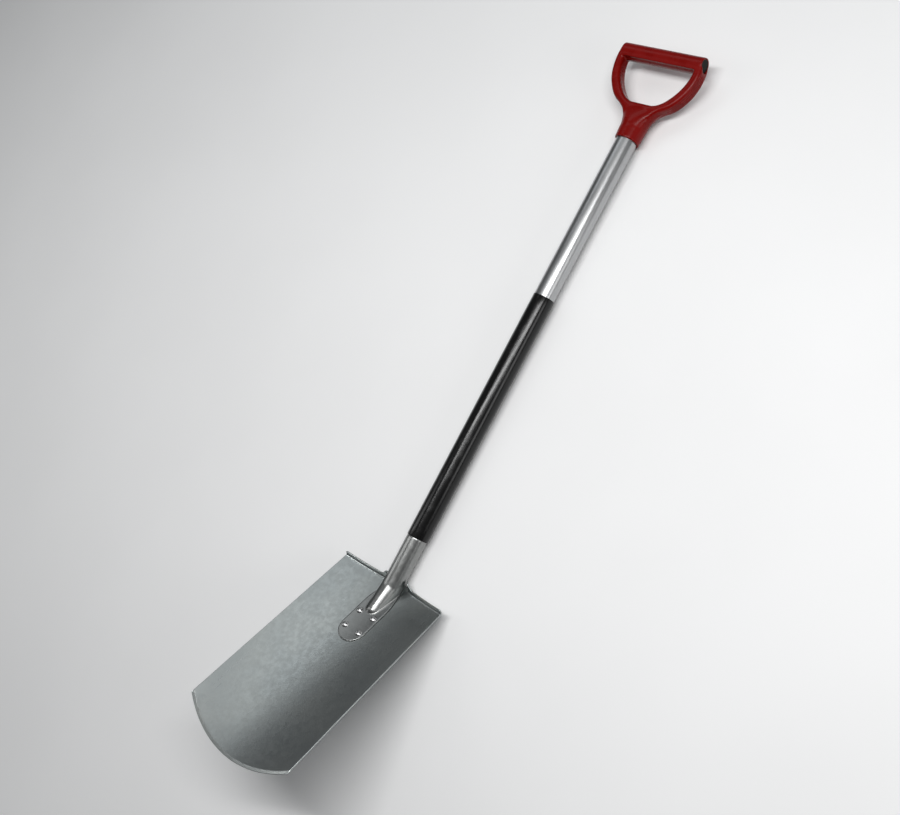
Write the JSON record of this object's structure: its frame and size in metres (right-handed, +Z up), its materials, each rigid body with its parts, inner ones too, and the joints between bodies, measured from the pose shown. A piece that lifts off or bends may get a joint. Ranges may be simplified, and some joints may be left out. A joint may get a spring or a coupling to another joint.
{
  "type": "garden spade",
  "caption": "Garden spade with a dished, round-edged steel blade, forward-turned treads, riveted socket, tubular shaft with a black sleeve, and a red D handle.",
  "frame": {"origin": "on the floor under the middle of the spade's box, the spade lying on its back with the digging face up", "axes": "+Y along the shaft from the blade towards the handle, +X across the blade, +Z up from the floor, the way the digging face looks"},
  "size_m": [0.1888, 1.077, 0.1703],
  "materials": {
    "blade_steel": "bright rolled steel, mottled by zinc and handling",
    "socket_steel": "pressed and welded steel, satin",
    "rivet_steel": "bright domed rivets",
    "pin_steel": "plain steel pin",
    "shaft_aluminium": "satin drawn aluminium",
    "sleeve_black": "smooth glossy black sleeve",
    "handle_red": "deep red glossy moulding",
    "plug_black": "black moulded plug"
  },
  "bodies": {
    "root": {"blade": "blade_steel", "socket": "socket_steel", "blade_rivets": "rivet_steel", "socket_pin": "pin_steel", "shaft_tube": "shaft_aluminium", "shaft_sleeve": "sleeve_black", "d_handle": "handle_red", "grip_plug_left": "plug_black", "grip_plug_right": "plug_black", "handle_rivet": "pin_steel"}
  },
  "joints": []
}
